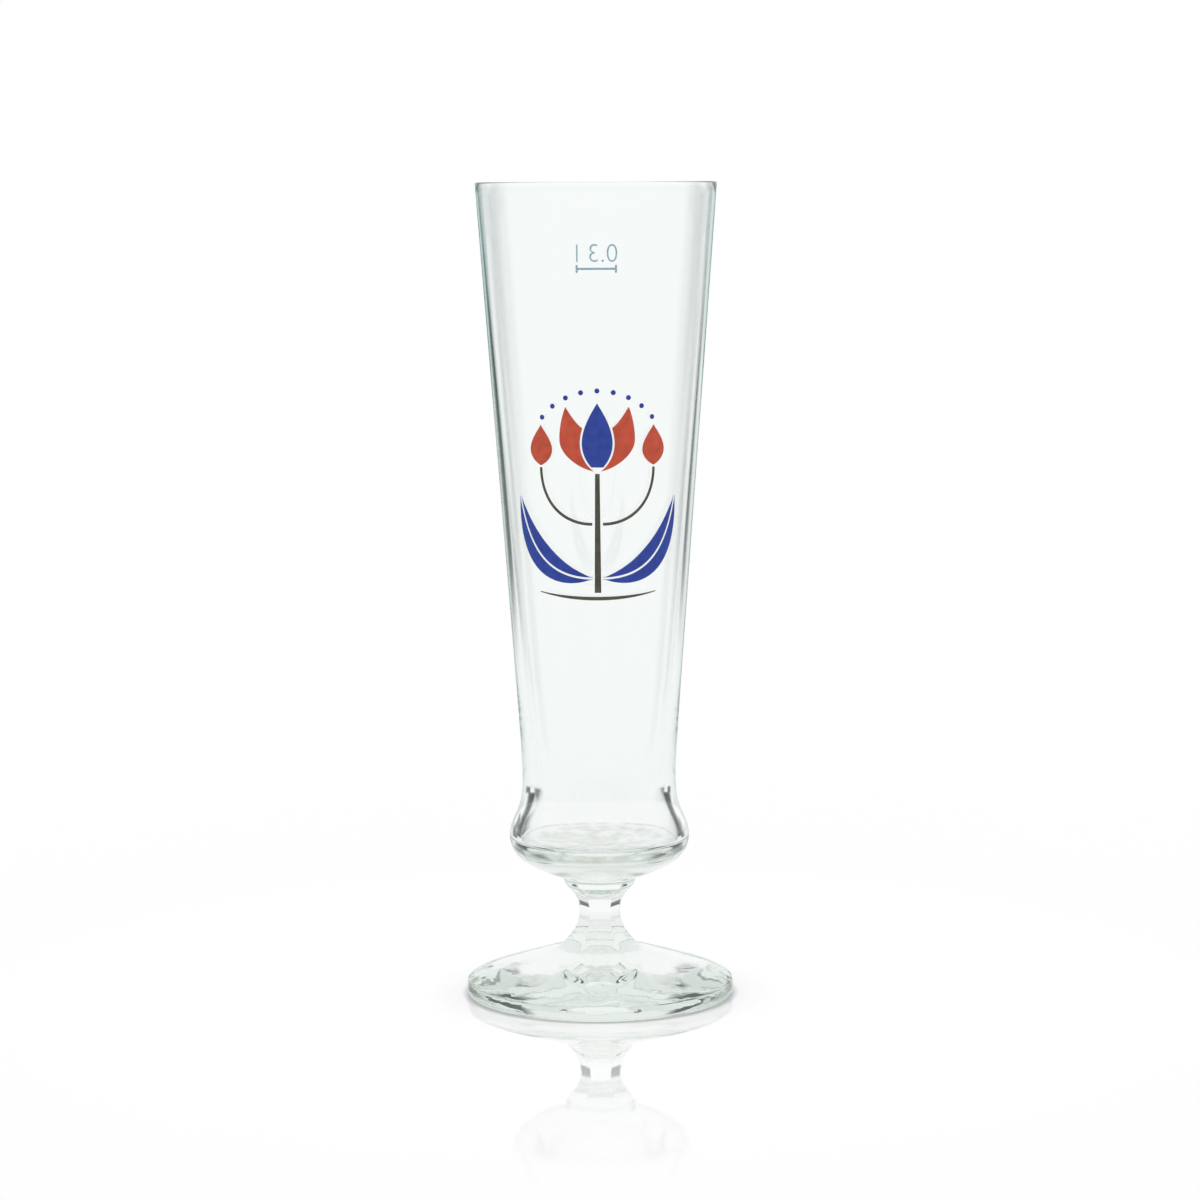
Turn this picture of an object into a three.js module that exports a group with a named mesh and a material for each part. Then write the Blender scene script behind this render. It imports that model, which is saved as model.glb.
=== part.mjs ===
// Footed tulip beer glass: a tall tapered bowl on a short six-panelled stem and a domed foot,
// with fired enamel on the outside of the bowl.
// Millimetres, +Z up, origin at the middle of the base, front of the print towards -Y.
import * as THREE from 'three';

// Foot
const FOOT_RADIUS = 37.9;
const FOOT_EDGE_HEIGHT = 2.3;
const FOOT_CREASE_HEIGHT = 4.1;
const FOOT_CREASE_INSET = 0.3;
const FOOT_SHOULDER_RADIUS = 28;
const FOOT_SHOULDER_HEIGHT = 8.1;
const FOOT_HEIGHT = 13.55;
const REST_RING_OUTER_RADIUS = 36.4;
const REST_RING_INNER_RADIUS = 31;
const DISH_DEPTH = 3.2;

// Stem: radii are measured to the corners between the panels
const STEM_LENGTH = 17.75;
const STEM_PANELS = 6;
const STEM_NECK_RADIUS = 5.7;
const STEM_NECK_RISE = 10.25;
const STEM_TOP_RADIUS = 9.8;
const STEM_FOOT_RADIUS = 11;
const STEM_FLARE = 0.8;
const STEM_END_BLEND = 2.2;

// Bowl, outside: each rise is measured from the top of the stem
const COLLAR_RADIUS = 10.4;
const COLLAR_HEIGHT = 2.2;
const BULB_RADIUS = 25.35;
const BULB_RISE = 14.1;
const WAIST_RADIUS = 21.6;
const WAIST_RISE = 30.2;
const TAPER_RADIUS = 23.35;
const TAPER_RISE = 59.7;
const RIM_RADIUS = 33.55;
const BOWL_HEIGHT = 197.7;

// Bowl, wall and bottom
const RIM_WALL = 0.7;
const TAPER_WALL = 2.4;
const WAIST_WALL = 3.6;
const BULB_WALL = 3;
const HOLLOW_BULB_DROP = 0.3;
const BOTTOM_THICKNESS = 11.4;
const BOTTOM_DISH = 0.6;
const BOTTOM_CORNER_INSET = 6;

// Enamel: heights of the print are measured from the top of the stem
const ENAMEL_THICKNESS = 0.15;
const ENAMEL_CLEARANCE = 0.15;
const PRINT_RISE = 113;
const FILL_LINE_DROP = 25.2;
const FILL_LINE_LENGTH = 12.2;
const FILL_LINE_WIDTH = 0.6;
const FILL_TICK_HEIGHT = 2.2;
const FILL_TICK_WIDTH = 0.6;
const PRINT_GAP = 0.55;
const BLOOM_WIDTH = 21;
const BLOOM_BASE = 6.4;
const BLOOM_WIDEST = 15.2;
const BLOOM_VALLEY = 18.4;
const BLOOM_TIP = 24;
const BLOOM_TIP_INSET = 1.7;
const HEART_WIDTH = 8.4;
const HEART_LIFT = 1.2;
const HEART_TIP = 25;
const STALK_WIDTH = 1.8;
const STALK_FOOT = -27;
const TWIG_WIDTH = 0.8;
const TWIG_ROOT_HEIGHT = -8;
const LEAF_REACH = 24;
const LEAF_TIP_HEIGHT = -1;
const LEAF_ROOT_HEIGHT = -23;
const LEAF_WIDTH = 7.2;
const BUD_CENTRE = 16.2;
const BUD_BASE = 8;
const BUD_HEIGHT = 11;
const BUD_WIDTH = 7;
const GROUND_LENGTH = 34;
const GROUND_WIDTH = 1;
const GROUND_END_HEIGHT = -27.1;
const GROUND_SAG = 1.5;
const TIP_WIDTH = 0.3;

// Pulls of the curves, as shares of the height or width that each curve spans
const UNDERSIDE_RUN = 0.6;
const UNDERSIDE_RISE = 0.27;
const SHOULDER_PULL = 0.5;
const BULB_PULL = 0.35;
const WAIST_PULL = 0.6;
const FLARE_START_PULL = 0.12;
const FLARE_END_PULL = 0.66;
const HOLLOW_WAIST_PULL = 0.5;
const HOLLOW_BULB_PULL = 0.26;
const CORNER_DROP_PULL = 0.38;
const CORNER_PULL = 0.16;
const FLOOR_PULL = 0.4;
const BRIM_RUN = 0.12;
const BRIM_RISE = 0.3;
const BRIM_END_PULL = 0.45;
const DISH_PULL = 0.45;
const DISH_LIP = 0.1;
const EDGE_PULL = 0.15;
const STEM_END_PULL = 0.33;
const STEM_NECK_PULL = 0.5;
const BLOOM_ROUNDNESS = 0.6;
const HEART_ROUNDNESS = 0.9;
const HEART_FULLNESS = 0.8;
const PETAL_POINT = 0.75;
const TWIG_BEND = 0.6;
const TWIG_TURN = 0.4;
const LEAF_BEND = 0.8;
const LEAF_FULLNESS = 0.8;
const BUD_FULLNESS = 0.75;

// Facets
const ROUND_STEPS = 48;
const CURVE_STEPS = 8;
const STEM_PANEL_STEPS = 6;
const RIBBON_STEPS = 14;
const PRINT_STEP = 1.6;

// Levels that follow from the stack of foot, stem and bowl
const stemBase = FOOT_HEIGHT;
const bowlBase = stemBase + STEM_LENGTH;
const collarTop = bowlBase + COLLAR_HEIGHT;
const bulbLevel = bowlBase + BULB_RISE;
const waistLevel = bowlBase + WAIST_RISE;
const taperLevel = bowlBase + TAPER_RISE;
const rimLevel = bowlBase + BOWL_HEIGHT;
const hollowLevel = bowlBase + BOTTOM_THICKNESS;
const printLevel = bowlBase + PRINT_RISE;
const fillLevel = rimLevel - FILL_LINE_DROP;

const CLEAR_GLASS = { color: 0xe9f0ec, roughness: 0.04, metalness: 0 };
const BRICK_ENAMEL = { color: 0xb8432a, roughness: 0.35, metalness: 0 };
const BLUE_ENAMEL = { color: 0x1f3fa6, roughness: 0.35, metalness: 0 };
const OLIVE_ENAMEL = { color: 0x4a4636, roughness: 0.4, metalness: 0 };
const PALE_ENAMEL = { color: 0x8fa6c8, roughness: 0.45, metalness: 0 };

const point = (radius, height) => new THREE.Vector2(radius, height);
const mix = (from, to, share) => from + (to - from) * share;

// Named solid with its own material
function piece(name, geometry, finish) {
  const mesh = new THREE.Mesh(geometry, new THREE.MeshStandardMaterial(finish));
  mesh.name = name;
  return mesh;
}

// Joins curves into one outline without doubled points
function outline(curves) {
  const points = [];
  for (const [curve, steps] of curves) {
    const part = curve.getPoints(steps);
    points.push(...(points.length ? part.slice(1) : part));
  }
  return points;
}

// Revolves an outline that starts and ends on the axis, with the axis turned upright
function revolve(points) {
  const geometry = new THREE.LatheGeometry(points, ROUND_STEPS);
  geometry.rotateX(Math.PI / 2);
  return geometry;
}

// Mesh from corner positions and triangles
function closedMesh(positions, index) {
  const geometry = new THREE.BufferGeometry();
  geometry.setAttribute('position', new THREE.Float32BufferAttribute(positions, 3));
  geometry.setIndex(index);
  geometry.computeVertexNormals();
  return geometry;
}

// Curve from one point to another that leaves and arrives along given pulls
function pull(start, startPull, endPull, end) {
  return new THREE.CubicBezierCurve(start, start.clone().add(startPull), end.clone().add(endPull), end);
}

// Outside of the bowl, from the collar on the stem up to the rim
function bowlOutside() {
  const collarFoot = point(STEM_TOP_RADIUS, bowlBase);
  const collar = point(COLLAR_RADIUS, collarTop);
  const bulb = point(BULB_RADIUS, bulbLevel);
  const waist = point(WAIST_RADIUS, waistLevel);
  const taper = point(TAPER_RADIUS, taperLevel);
  const rim = point(RIM_RADIUS, rimLevel - RIM_WALL / 2);
  const undersideRun = UNDERSIDE_RUN * (BULB_RADIUS - COLLAR_RADIUS);
  const undersideRise = UNDERSIDE_RISE * (bulbLevel - collarTop);
  const shoulderDrop = SHOULDER_PULL * (bulbLevel - collarTop);
  const swell = waistLevel - bulbLevel;
  const slope = (RIM_RADIUS - TAPER_RADIUS) / (rimLevel - taperLevel);
  const flare = taperLevel - waistLevel;
  const flareEnd = FLARE_END_PULL * flare;
  return outline([
    [new THREE.LineCurve(collarFoot, collar), 1],
    [pull(collar, point(undersideRun, undersideRise), point(0, -shoulderDrop), bulb), CURVE_STEPS],
    [pull(bulb, point(0, BULB_PULL * swell), point(0, -WAIST_PULL * swell), waist), CURVE_STEPS],
    [pull(waist, point(0, FLARE_START_PULL * flare), point(-slope * flareEnd, -flareEnd), taper), CURVE_STEPS],
    [new THREE.LineCurve(taper, rim), 1],
  ]);
}

// Inside of the bowl, from the rim down to the middle of its bottom
function bowlInside() {
  const rim = point(RIM_RADIUS - RIM_WALL, rimLevel - RIM_WALL / 2);
  const taper = point(TAPER_RADIUS - TAPER_WALL, taperLevel);
  const waist = point(WAIST_RADIUS - WAIST_WALL, waistLevel);
  const bulb = point(BULB_RADIUS - BULB_WALL, bulbLevel - HOLLOW_BULB_DROP);
  const corner = point(bulb.x - BOTTOM_CORNER_INSET, hollowLevel + BOTTOM_DISH);
  const middle = point(0, hollowLevel);
  const slope = (rim.x - taper.x) / (rim.y - taper.y);
  const flare = taperLevel - waistLevel;
  const flareEnd = FLARE_END_PULL * flare;
  const swell = waist.y - bulb.y;
  const drop = bulb.y - corner.y;
  const cornerPull = CORNER_PULL * BOTTOM_CORNER_INSET;
  const floorPull = FLOOR_PULL * corner.x;
  return outline([
    [new THREE.LineCurve(rim, taper), 1],
    [pull(taper, point(-slope * flareEnd, -flareEnd), point(0, FLARE_START_PULL * flare), waist), CURVE_STEPS],
    [pull(waist, point(0, -HOLLOW_WAIST_PULL * swell), point(0, HOLLOW_BULB_PULL * swell), bulb), CURVE_STEPS],
    [pull(bulb, point(0, -CORNER_DROP_PULL * drop), point(cornerPull, 0), corner), CURVE_STEPS],
    [pull(corner, point(-floorPull, 0), point(floorPull, 0), middle), CURVE_STEPS / 2],
  ]);
}

// Half round lip that joins the outside of the wall to the inside
function rimLip() {
  const lip = new THREE.EllipseCurve(
    RIM_RADIUS - RIM_WALL / 2, rimLevel - RIM_WALL / 2, RIM_WALL / 2, RIM_WALL / 2, 0, Math.PI);
  return lip.getPoints(CURVE_STEPS / 2).slice(1, -1);
}

function bowl() {
  const seat = point(0, bowlBase);
  return revolve([seat, ...bowlOutside(), ...rimLip(), ...bowlInside()]);
}

// Corner line of the stem's panels, from the foot up to the bowl
function stemOutside() {
  const base = point(STEM_FOOT_RADIUS, stemBase);
  const neck = point(STEM_NECK_RADIUS, stemBase + STEM_NECK_RISE);
  const top = point(STEM_TOP_RADIUS, bowlBase);
  const lower = neck.y - base.y;
  const upper = top.y - neck.y;
  const lowerEnd = STEM_END_PULL * lower;
  const upperEnd = STEM_END_PULL * upper;
  return outline([
    [pull(base, point(-STEM_FLARE * lowerEnd, lowerEnd), point(0, -STEM_NECK_PULL * lower), neck), CURVE_STEPS],
    [pull(neck, point(0, STEM_NECK_PULL * upper), point(-STEM_FLARE * upperEnd, -upperEnd), top), CURVE_STEPS],
  ]);
}

// Concave stem: round where it meets the foot and the bowl, flat panels between
function stem() {
  const corners = stemOutside();
  const around = STEM_PANELS * STEM_PANEL_STEPS;
  const panelAngle = 2 * Math.PI / STEM_PANELS;
  const positions = [];
  const index = [];
  for (const corner of corners) {
    const fromEnd = Math.min(corner.y - stemBase, bowlBase - corner.y);
    const roundness = 1 - THREE.MathUtils.smoothstep(fromEnd, 0, STEM_END_BLEND);
    for (let step = 0; step < around; step += 1) {
      const angle = 2 * Math.PI * step / around;
      const fromMiddle = (step % STEM_PANEL_STEPS) / STEM_PANEL_STEPS * panelAngle - panelAngle / 2;
      const panel = Math.cos(panelAngle / 2) / Math.cos(fromMiddle);
      const radius = corner.x * mix(panel, 1, roundness);
      positions.push(radius * Math.cos(angle), radius * Math.sin(angle), corner.y);
    }
  }
  const middle = positions.length / 3;
  const top = middle - around;
  positions.push(0, 0, stemBase, 0, 0, bowlBase);
  for (let step = 0; step < around; step += 1) {
    const next = (step + 1) % around;
    for (let low = 0; low < top; low += around) {
      const high = low + around;
      index.push(low + step, low + next, high + next, low + step, high + next, high + step);
    }
    index.push(middle, next, step, middle + 1, top + step, top + next);
  }
  return closedMesh(positions, index);
}

// Domed foot on a flat resting ring, dished underneath
function foot() {
  const dishMiddle = point(0, DISH_DEPTH);
  const ringInner = point(REST_RING_INNER_RADIUS, 0);
  const ringOuter = point(REST_RING_OUTER_RADIUS, 0);
  const edge = point(FOOT_RADIUS, FOOT_EDGE_HEIGHT);
  const crease = point(FOOT_RADIUS - FOOT_CREASE_INSET, FOOT_CREASE_HEIGHT);
  const shoulder = point(FOOT_SHOULDER_RADIUS, FOOT_SHOULDER_HEIGHT);
  const seatEdge = point(STEM_FOOT_RADIUS, FOOT_HEIGHT);
  const seatMiddle = point(0, FOOT_HEIGHT);
  const slope = (FOOT_HEIGHT - FOOT_SHOULDER_HEIGHT) / (FOOT_SHOULDER_RADIUS - STEM_FOOT_RADIUS);
  const brim = crease.x - shoulder.x;
  const brimRise = BRIM_RISE * (shoulder.y - crease.y);
  const brimEnd = BRIM_END_PULL * brim;
  const dishPull = DISH_PULL * REST_RING_INNER_RADIUS;
  return revolve(outline([
    [pull(dishMiddle, point(dishPull, 0), point(-dishPull, DISH_LIP * DISH_DEPTH), ringInner), CURVE_STEPS],
    [new THREE.LineCurve(ringInner, ringOuter), 1],
    [new THREE.QuadraticBezierCurve(ringOuter, point(edge.x, EDGE_PULL * edge.y), edge), CURVE_STEPS / 2],
    [new THREE.LineCurve(edge, crease), 1],
    [pull(crease, point(-BRIM_RUN * brim, brimRise), point(brimEnd, -slope * brimEnd), shoulder), CURVE_STEPS],
    [new THREE.LineCurve(shoulder, seatEdge), 2],
    [new THREE.LineCurve(seatEdge, seatMiddle), 1],
  ]));
}

// Outer radius of the bowl's wall at a height
const wallOutline = bowlOutside();
function wallRadius(height) {
  const above = wallOutline.findIndex((spot, place) => place > 1 && spot.y >= height);
  const high = wallOutline[above];
  const low = wallOutline[above - 1];
  return mix(low.x, high.x, (height - low.y) / (high.y - low.y));
}

// Thin enamel on the outside of the wall, as a grid between pairs of points [along, height]:
// along is measured round the wall from the middle of the side that it faces
function enamel(pairs, facing) {
  const widest = Math.max(...pairs.map(([left, right]) => Math.hypot(right[0] - left[0], right[1] - left[1])));
  const across = Math.max(1, Math.ceil(widest / PRINT_STEP));
  const row = across + 1;
  const layer = pairs.length * row;
  const positions = [];
  const index = [];
  for (const lift of [ENAMEL_CLEARANCE, ENAMEL_CLEARANCE + ENAMEL_THICKNESS]) {
    for (const [left, right] of pairs) {
      for (let step = 0; step <= across; step += 1) {
        const height = mix(left[1], right[1], step / across);
        const radius = wallRadius(height);
        const angle = facing + mix(left[0], right[0], step / across) / radius;
        positions.push((radius + lift) * Math.cos(angle), (radius + lift) * Math.sin(angle), height);
      }
    }
  }
  const quad = (a, b, c, d) => index.push(a, b, c, a, c, d);
  for (let line = 0; line + 1 < pairs.length; line += 1) {
    for (let step = 0; step < across; step += 1) {
      const a = line * row + step;
      quad(a, a + row, a + row + 1, a + 1);
      quad(layer + a, layer + a + 1, layer + a + row + 1, layer + a + row);
    }
    const start = line * row;
    const end = start + across;
    quad(start, layer + start, layer + start + row, start + row);
    quad(end, end + row, layer + end + row, layer + end);
  }
  const last = (pairs.length - 1) * row;
  for (let step = 0; step < across; step += 1) {
    quad(step, step + 1, layer + step + 1, layer + step);
    quad(last + step, layer + last + step, layer + last + step + 1, last + step + 1);
  }
  return closedMesh(positions, index);
}

const FRONT = -Math.PI / 2;
const BACK = Math.PI / 2;

// Level line with a tick at each end
function fillLine() {
  const half = FILL_LINE_LENGTH / 2;
  const bar = half - FILL_TICK_WIDTH;
  const neck = bar - FILL_LINE_WIDTH / 2;
  const steps = Math.ceil(2 * neck / PRINT_STEP);
  const columns = [[-half, FILL_TICK_HEIGHT], [-bar, FILL_TICK_HEIGHT]];
  for (let step = 0; step <= steps; step += 1) {
    columns.push([mix(-neck, neck, step / steps), FILL_LINE_WIDTH]);
  }
  columns.push([bar, FILL_TICK_HEIGHT], [half, FILL_TICK_HEIGHT]);
  const pairs = columns.map(([along, tall]) => [[along, fillLevel + tall / 2], [along, fillLevel - tall / 2]]);
  return enamel(pairs, BACK);
}

// Half width of the flower's middle petal at a height over the print's middle
function heartEdge(height) {
  const share = (height - BLOOM_BASE) / (HEART_TIP - BLOOM_BASE);
  return HEART_WIDTH / 2 * Math.sin(Math.PI * share ** HEART_FULLNESS) ** HEART_ROUNDNESS;
}

// Half width of the whole flower at a height over the print's middle
function bloomEdge(height) {
  const half = BLOOM_WIDTH / 2;
  if (height < BLOOM_WIDEST) {
    const share = (height - BLOOM_BASE) / (BLOOM_WIDEST - BLOOM_BASE);
    return half * Math.sin(Math.PI / 2 * share) ** BLOOM_ROUNDNESS;
  }
  const share = (height - BLOOM_WIDEST) / (BLOOM_TIP - BLOOM_WIDEST);
  return half - BLOOM_TIP_INSET * share * share;
}

// Level row of a field of the print, from left to right; side is -1 for left, 1 for right
function levelRow(side, inner, outer, height) {
  const ends = [[side * inner, printLevel + height], [side * outer, printLevel + height]];
  return side > 0 ? ends : ends.reverse();
}

// Middle petal of the flower
function heart() {
  const pairs = [];
  for (let step = 0; step <= RIBBON_STEPS; step += 1) {
    const height = mix(BLOOM_BASE + HEART_LIFT, HEART_TIP - TIP_WIDTH, step / RIBBON_STEPS);
    const half = Math.max(heartEdge(height), TIP_WIDTH / 2);
    pairs.push(levelRow(1, -half, half, height));
  }
  return enamel(pairs, FRONT);
}

// Outer petal, beside the bare line round the middle one
function petal(side) {
  const tip = BLOOM_WIDTH / 2 - BLOOM_TIP_INSET - TIP_WIDTH;
  const valley = heartEdge(BLOOM_VALLEY) + PRINT_GAP;
  const pairs = [];
  for (let step = 0; step <= RIBBON_STEPS; step += 1) {
    const height = mix(BLOOM_BASE + TIP_WIDTH, BLOOM_TIP, step / RIBBON_STEPS);
    const rise = Math.max(0, (height - BLOOM_VALLEY) / (BLOOM_TIP - BLOOM_VALLEY));
    const inner = rise > 0 ? mix(valley, tip, rise ** PETAL_POINT) : heartEdge(height) + PRINT_GAP;
    const outer = Math.max(bloomEdge(height), inner + TIP_WIDTH);
    pairs.push(levelRow(side, inner, outer, height));
  }
  return enamel(pairs, FRONT);
}

function stalk() {
  const pairs = [];
  for (let step = 0; step <= RIBBON_STEPS; step += 1) {
    const height = mix(STALK_FOOT, BLOOM_BASE - PRINT_GAP, step / RIBBON_STEPS);
    pairs.push(levelRow(1, -STALK_WIDTH / 2, STALK_WIDTH / 2, height));
  }
  return enamel(pairs, FRONT);
}

// Field that follows a curve over the print's middle, with a width at each share of the curve
function ribbon(curve, widthAt, side) {
  const pairs = [];
  for (let step = 0; step <= RIBBON_STEPS; step += 1) {
    const share = step / RIBBON_STEPS;
    const middle = curve.getPoint(share);
    const along = curve.getTangent(share);
    const half = widthAt(share) / 2;
    const left = [side * (middle.x - along.y * half), printLevel + middle.y + along.x * half];
    const right = [side * (middle.x + along.y * half), printLevel + middle.y - along.x * half];
    pairs.push(side > 0 ? [left, right] : [right, left]);
  }
  return enamel(pairs, FRONT);
}

// Leaf that leaves the foot of the stalk and curls up to its tip
function leaf(side) {
  const spine = new THREE.QuadraticBezierCurve(
    point(STALK_WIDTH / 2 + PRINT_GAP, LEAF_ROOT_HEIGHT),
    point(LEAF_BEND * LEAF_REACH, LEAF_ROOT_HEIGHT),
    point(LEAF_REACH, LEAF_TIP_HEIGHT));
  const width = (share) => mix(TIP_WIDTH, LEAF_WIDTH, Math.sin(Math.PI * share) ** LEAF_FULLNESS);
  return ribbon(spine, width, side);
}

// Thin twig from the stalk up to a bud
function twig(side) {
  const end = point(BUD_CENTRE, BUD_BASE - PRINT_GAP);
  const curve = new THREE.CubicBezierCurve(
    point(STALK_WIDTH / 2 + PRINT_GAP, TWIG_ROOT_HEIGHT),
    point(TWIG_BEND * BUD_CENTRE, TWIG_ROOT_HEIGHT),
    point(BUD_CENTRE, mix(TWIG_ROOT_HEIGHT, end.y, TWIG_TURN)),
    end);
  return ribbon(curve, () => TWIG_WIDTH, side);
}

// Pointed bud that stands beside the flower
function bud(side) {
  const pairs = [];
  for (let step = 0; step <= RIBBON_STEPS; step += 1) {
    const share = step / RIBBON_STEPS;
    const half = mix(TIP_WIDTH, BUD_WIDTH, Math.sin(Math.PI * share ** BUD_FULLNESS)) / 2;
    pairs.push(levelRow(side, BUD_CENTRE - half, BUD_CENTRE + half, BUD_BASE + BUD_HEIGHT * share));
  }
  return enamel(pairs, FRONT);
}

// Line of ground under the plant, sagging in the middle and thin at its ends
function ground() {
  const half = GROUND_LENGTH / 2;
  const curve = new THREE.QuadraticBezierCurve(
    point(-half, GROUND_END_HEIGHT),
    point(0, GROUND_END_HEIGHT - 2 * GROUND_SAG),
    point(half, GROUND_END_HEIGHT));
  return ribbon(curve, (share) => mix(TIP_WIDTH, GROUND_WIDTH, Math.sin(Math.PI * share)), 1);
}

const glass = new THREE.Group();
glass.add(piece('bowl', bowl(), CLEAR_GLASS));
glass.add(piece('stem', stem(), CLEAR_GLASS));
glass.add(piece('foot', foot(), CLEAR_GLASS));
glass.add(piece('fill_line', fillLine(), PALE_ENAMEL));
glass.add(piece('print_heart', heart(), BLUE_ENAMEL));
glass.add(piece('print_stalk', stalk(), OLIVE_ENAMEL));
glass.add(piece('print_ground', ground(), OLIVE_ENAMEL));
for (const [label, side] of [['left', -1], ['right', 1]]) {
  glass.add(piece(`print_petal_${label}`, petal(side), BRICK_ENAMEL));
  glass.add(piece(`print_leaf_${label}`, leaf(side), BLUE_ENAMEL));
  glass.add(piece(`print_twig_${label}`, twig(side), OLIVE_ENAMEL));
  glass.add(piece(`print_bud_${label}`, bud(side), BRICK_ENAMEL));
}

export default glass;
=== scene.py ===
"""Looks of a footed tulip beer glass: fused clear glass, fired enamel and a level mark, in a white studio."""

import logging
import math
from collections.abc import Callable, Iterable, Sequence
from dataclasses import dataclass, field
from enum import Enum
from typing import Any

import bmesh
import bpy
from mathutils import Matrix


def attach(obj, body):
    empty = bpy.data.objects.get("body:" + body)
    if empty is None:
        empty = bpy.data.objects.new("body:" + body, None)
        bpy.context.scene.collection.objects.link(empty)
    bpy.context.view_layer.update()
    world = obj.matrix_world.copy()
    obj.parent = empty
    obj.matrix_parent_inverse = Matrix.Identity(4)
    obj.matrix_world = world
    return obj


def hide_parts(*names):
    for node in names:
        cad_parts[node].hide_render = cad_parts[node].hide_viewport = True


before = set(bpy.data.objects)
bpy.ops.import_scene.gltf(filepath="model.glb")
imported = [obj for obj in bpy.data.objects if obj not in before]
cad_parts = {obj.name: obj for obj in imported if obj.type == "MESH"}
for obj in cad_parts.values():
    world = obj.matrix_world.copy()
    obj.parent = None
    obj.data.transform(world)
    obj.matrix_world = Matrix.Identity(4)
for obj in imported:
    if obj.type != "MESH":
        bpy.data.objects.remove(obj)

LOG = logging.getLogger("tulip_glass")
MM = 0.001
MERGE_DISTANCE = 0.001 * MM
FULL_TURN = 2 * math.pi
BODY = "root"

Point = tuple[float, float]
Pair = tuple[Point, Point]
Rows = list[list[Point]]
Span = tuple[float, float]
Noise = tuple[float, float]
Colour = tuple[float, float, float]


def mix(start: float, end: float, share: float) -> float:
    """Value that lies a share of the way from start to end."""
    return start + (end - start) * share


def evenly(start: float, end: float, steps: int) -> list[float]:
    """Evenly spaced values from start to end."""
    return [mix(start, end, step / steps) for step in range(steps + 1)]


def straight(start: Point, end: Point, steps: int) -> list[Point]:
    """Evenly spaced points on a straight line from start to end."""
    return list(zip(evenly(start[0], end[0], steps), evenly(start[1], end[1], steps)))


def bezier(points: Sequence[Point], steps: int) -> list[Point]:
    """Points along a Bezier curve.

    Args:
        points: The curve's ends and what pulls on it, three or four points.
        steps: Number of even steps of the curve's parameter.

    Returns:
        The points from the first end to the last.
    """
    line: list[Point] = []
    for share in evenly(0.0, 1.0, steps):
        left = list(points)
        while len(left) > 1:
            left = [(mix(a[0], b[0], share), mix(a[1], b[1], share)) for a, b in zip(left, left[1:])]
        line.append(left[0])
    return line


def pull(start: Point, start_pull: Point, end_pull: Point, end: Point, steps: int) -> list[Point]:
    """Points along a curve that leaves and arrives along given pulls.

    Args:
        start: First end.
        start_pull: Step from the first end to the point that pulls on it.
        end_pull: Step from the last end to the point that pulls on it.
        end: Last end.
        steps: Number of steps.

    Returns:
        The points from start to end.
    """
    leave = (start[0] + start_pull[0], start[1] + start_pull[1])
    arrive = (end[0] + end_pull[0], end[1] + end_pull[1])
    return bezier((start, leave, arrive, end), steps)


def joined(lines: Iterable[Sequence[Point]]) -> list[Point]:
    """One line from several that follow on from each other.

    Args:
        lines: The lines, each of which starts where the one before it ends.

    Returns:
        All their points in order, without the doubled ends.
    """
    whole: list[Point] = []
    for line in lines:
        whole.extend(line[1:] if whole else line)
    return whole


def fire_polished(line: Sequence[Point], low: float, high: float, spread: float) -> list[Point]:
    """Line with its corners melted round between two heights.

    Args:
        line: Points of the line.
        low: Height above which corners melt.
        high: Height below which corners melt.
        spread: Length over which a corner is spread to each side.

    Returns:
        The line with as many points.
    """
    fade = 3 * spread
    least_heat = 0.01
    along = [0.0]
    for (ax, ay), (bx, by) in zip(line, line[1:]):
        along.append(along[-1] + math.hypot(bx - ax, by - ay))
    reach = [0.0] + [(along[i + 1] - along[i - 1]) / 2 for i in range(1, len(line) - 1)] + [0.0]
    melted: list[Point] = []
    for place, (x, y) in enumerate(line):
        if not low < y < high:
            melted.append((x, y))
            continue
        heat = max(spread * min(1.0, (y - low) / fade, (high - y) / fade), least_heat)
        away = [(there - along[place]) / heat for there in along]
        share = [width * math.exp(-0.5 * off ** 2) for width, off in zip(reach, away)]
        whole = sum(share)
        melted.append((sum(s * p[0] for s, p in zip(share, line)) / whole,
                       sum(s * p[1] for s, p in zip(share, line)) / whole))
    return melted


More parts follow.
